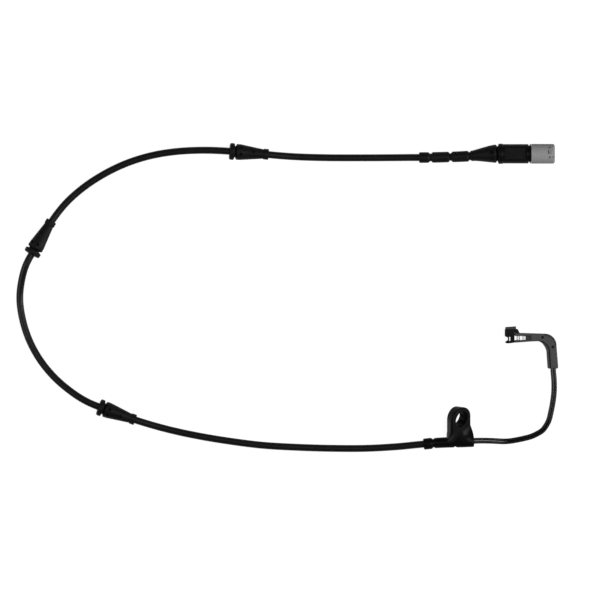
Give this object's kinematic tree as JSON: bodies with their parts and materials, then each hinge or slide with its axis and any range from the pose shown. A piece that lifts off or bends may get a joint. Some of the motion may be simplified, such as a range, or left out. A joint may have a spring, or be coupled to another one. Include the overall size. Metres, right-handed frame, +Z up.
{
  "type": "brake pad wear sensor",
  "caption": "Two-wire brake pad wear sensor lead with a round connector, clamp grommets, a rubber holder with an ear, and an L-shaped head that clips to the pad.",
  "frame": {"origin": "under the middle of the part's box, on the plane it lies on", "axes": "+X towards the connector's mouth, +Y from the sensor head's side towards the connector's side, +Z up from the bench"},
  "size_m": [0.352, 0.2006, 0.019],
  "materials": {
    "jacket": "satin",
    "wire_insulation": "satin",
    "moulded_rubber": "matte",
    "black_plastic": "satin",
    "grey_plastic": "satin",
    "charcoal_plastic": "fine grain",
    "contact_metal": "tin plated",
    "spring_steel": "bright"
  },
  "bodies": {
    "root": {"lead_sheath": "jacket", "wire_inner": "wire_insulation", "wire_outer": "wire_insulation", "grommet_connector_end": "moulded_rubber", "grommet_middle": "moulded_rubber", "grommet_sensor_end": "moulded_rubber", "connector_boot": "moulded_rubber", "lead_holder": "moulded_rubber", "interface_seal": "moulded_rubber", "connector_housing": "black_plastic", "contact_carrier": "black_plastic", "wear_tip": "black_plastic", "connector_sleeve": "grey_plastic", "sensor_housing": "charcoal_plastic", "contact_pin_left": "contact_metal", "contact_pin_right": "contact_metal", "contact_loop": "contact_metal", "spring_plate": "spring_steel"}
  },
  "joints": []
}
